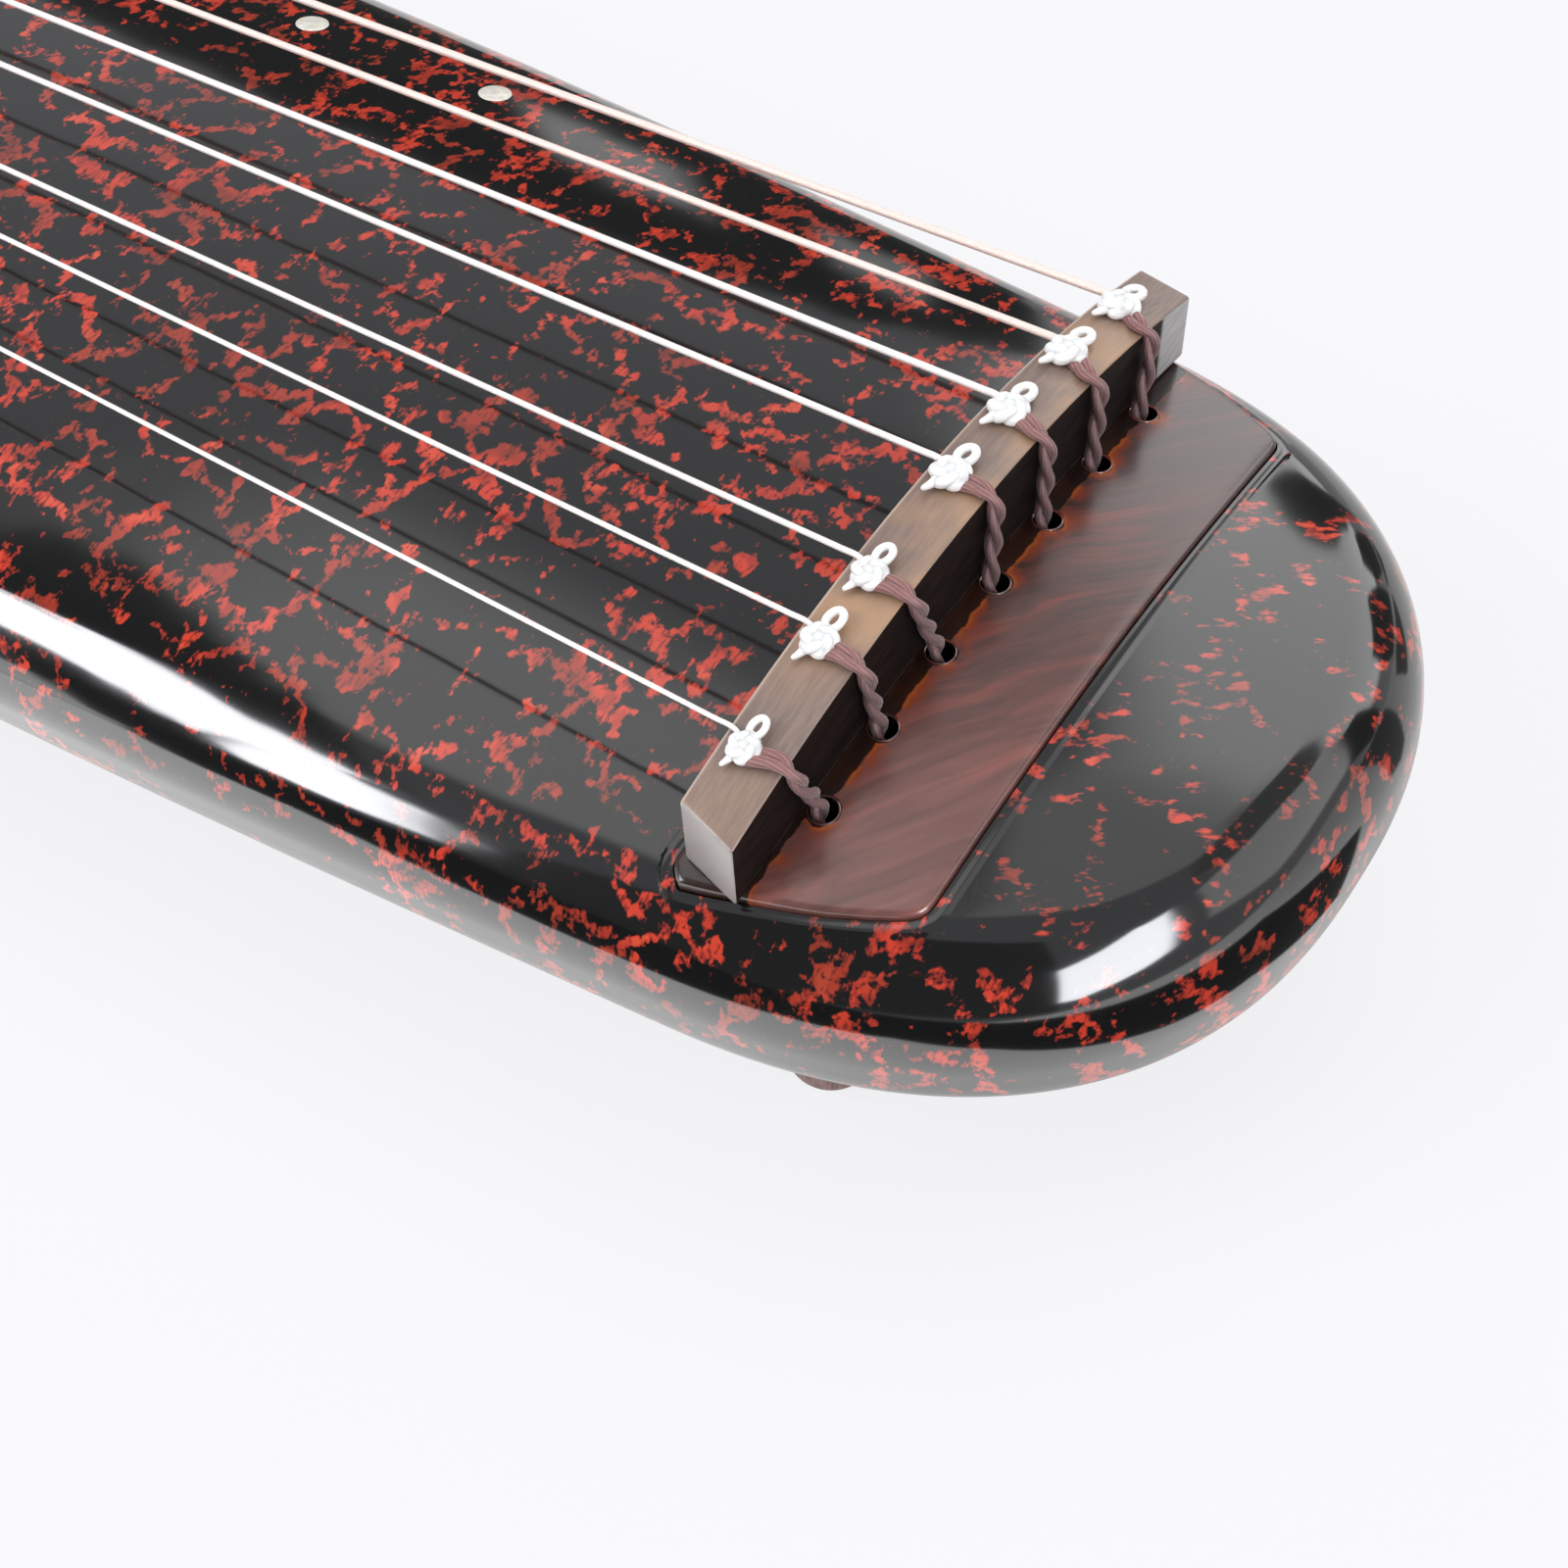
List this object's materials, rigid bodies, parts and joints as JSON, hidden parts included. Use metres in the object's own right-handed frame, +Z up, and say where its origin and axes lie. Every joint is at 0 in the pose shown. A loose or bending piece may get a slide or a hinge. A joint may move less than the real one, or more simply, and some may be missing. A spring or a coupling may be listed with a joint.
{
  "type": "guqin zither",
  "caption": "Long black and red lacquered zither with a round head, a straight wooden bridge, silk-corded pegs under the head, inlaid studs and two feet.",
  "frame": {"origin": "on the surface that the instrument stands on, below the middle of its outline", "axes": "+X along the strings towards the head, +Y across towards the first string and the studs, +Z up"},
  "size_m": [1.2208, 0.19, 0.0981],
  "materials": {
    "lacquer": "glossy black lacquer over wood, mottled with red flecks",
    "rosewood": "polished red-brown rosewood with streaked grain",
    "darkwood": "satin grey-brown hardwood",
    "shell": "polished white shell",
    "string": "white wound string, the thick ones faintly pink",
    "cord": "two-strand twisted purple-brown silk cord",
    "bare_wood": "bare pale wood"
  },
  "bodies": {
    "instrument": {"top_board": "lacquer", "bottom_board": "lacquer", "bridge": "darkwood", "peg_strip": "rosewood", "peg_plate": "rosewood", "tail_panel": "rosewood", "tail_nut": "rosewood", "tail_support": "rosewood", "tail_horn_near": "rosewood", "foot_near": "rosewood", "foot_socket_near": "bare_wood", "peg_guard_near": "rosewood", "tail_horn_far": "rosewood", "foot_far": "rosewood", "foot_socket_far": "bare_wood", "peg_guard_far": "rosewood", "round_post": "bare_wood", "square_post": "bare_wood", "stud_01": "shell", "stud_02": "shell", "stud_03": "shell", "stud_04": "shell", "stud_05": "shell", "stud_06": "shell", "stud_07": "shell", "stud_08": "shell", "stud_09": "shell", "stud_10": "shell", "stud_11": "shell", "stud_12": "shell", "stud_13": "shell", "string_1": "string", "cord_1": "cord", "string_2": "string", "cord_2": "cord", "string_3": "string", "cord_3": "cord", "string_4": "string", "cord_4": "cord", "string_5": "string", "cord_5": "cord", "string_6": "string", "cord_6": "cord", "string_7": "string", "cord_7": "cord"},
    "tuning_peg_1": {"peg_1": "darkwood", "cord_winding_1": "cord"},
    "tuning_peg_2": {"peg_2": "darkwood", "cord_winding_2": "cord"},
    "tuning_peg_3": {"peg_3": "darkwood", "cord_winding_3": "cord"},
    "tuning_peg_4": {"peg_4": "darkwood", "cord_winding_4": "cord"},
    "tuning_peg_5": {"peg_5": "darkwood", "cord_winding_5": "cord"},
    "tuning_peg_6": {"peg_6": "darkwood", "cord_winding_6": "cord"},
    "tuning_peg_7": {"peg_7": "darkwood", "cord_winding_7": "cord"}
  },
  "joints": [
    {"name": "peg_1_turn", "type": "hinge", "parent": "instrument", "child": "tuning_peg_1", "pos_m": [0.543, 0.0495, 0.03], "axis": [0, 0, 1], "continuous": true},
    {"name": "peg_2_turn", "type": "hinge", "parent": "instrument", "child": "tuning_peg_2", "pos_m": [0.543, 0.033, 0.03], "axis": [0, 0, 1], "continuous": true},
    {"name": "peg_3_turn", "type": "hinge", "parent": "instrument", "child": "tuning_peg_3", "pos_m": [0.543, 0.0165, 0.03], "axis": [0, 0, 1], "continuous": true},
    {"name": "peg_4_turn", "type": "hinge", "parent": "instrument", "child": "tuning_peg_4", "pos_m": [0.543, 0, 0.03], "axis": [0, 0, 1], "continuous": true},
    {"name": "peg_5_turn", "type": "hinge", "parent": "instrument", "child": "tuning_peg_5", "pos_m": [0.543, -0.0165, 0.03], "axis": [0, 0, 1], "continuous": true},
    {"name": "peg_6_turn", "type": "hinge", "parent": "instrument", "child": "tuning_peg_6", "pos_m": [0.543, -0.033, 0.03], "axis": [0, 0, 1], "continuous": true},
    {"name": "peg_7_turn", "type": "hinge", "parent": "instrument", "child": "tuning_peg_7", "pos_m": [0.543, -0.0495, 0.03], "axis": [0, 0, 1], "continuous": true}
  ]
}
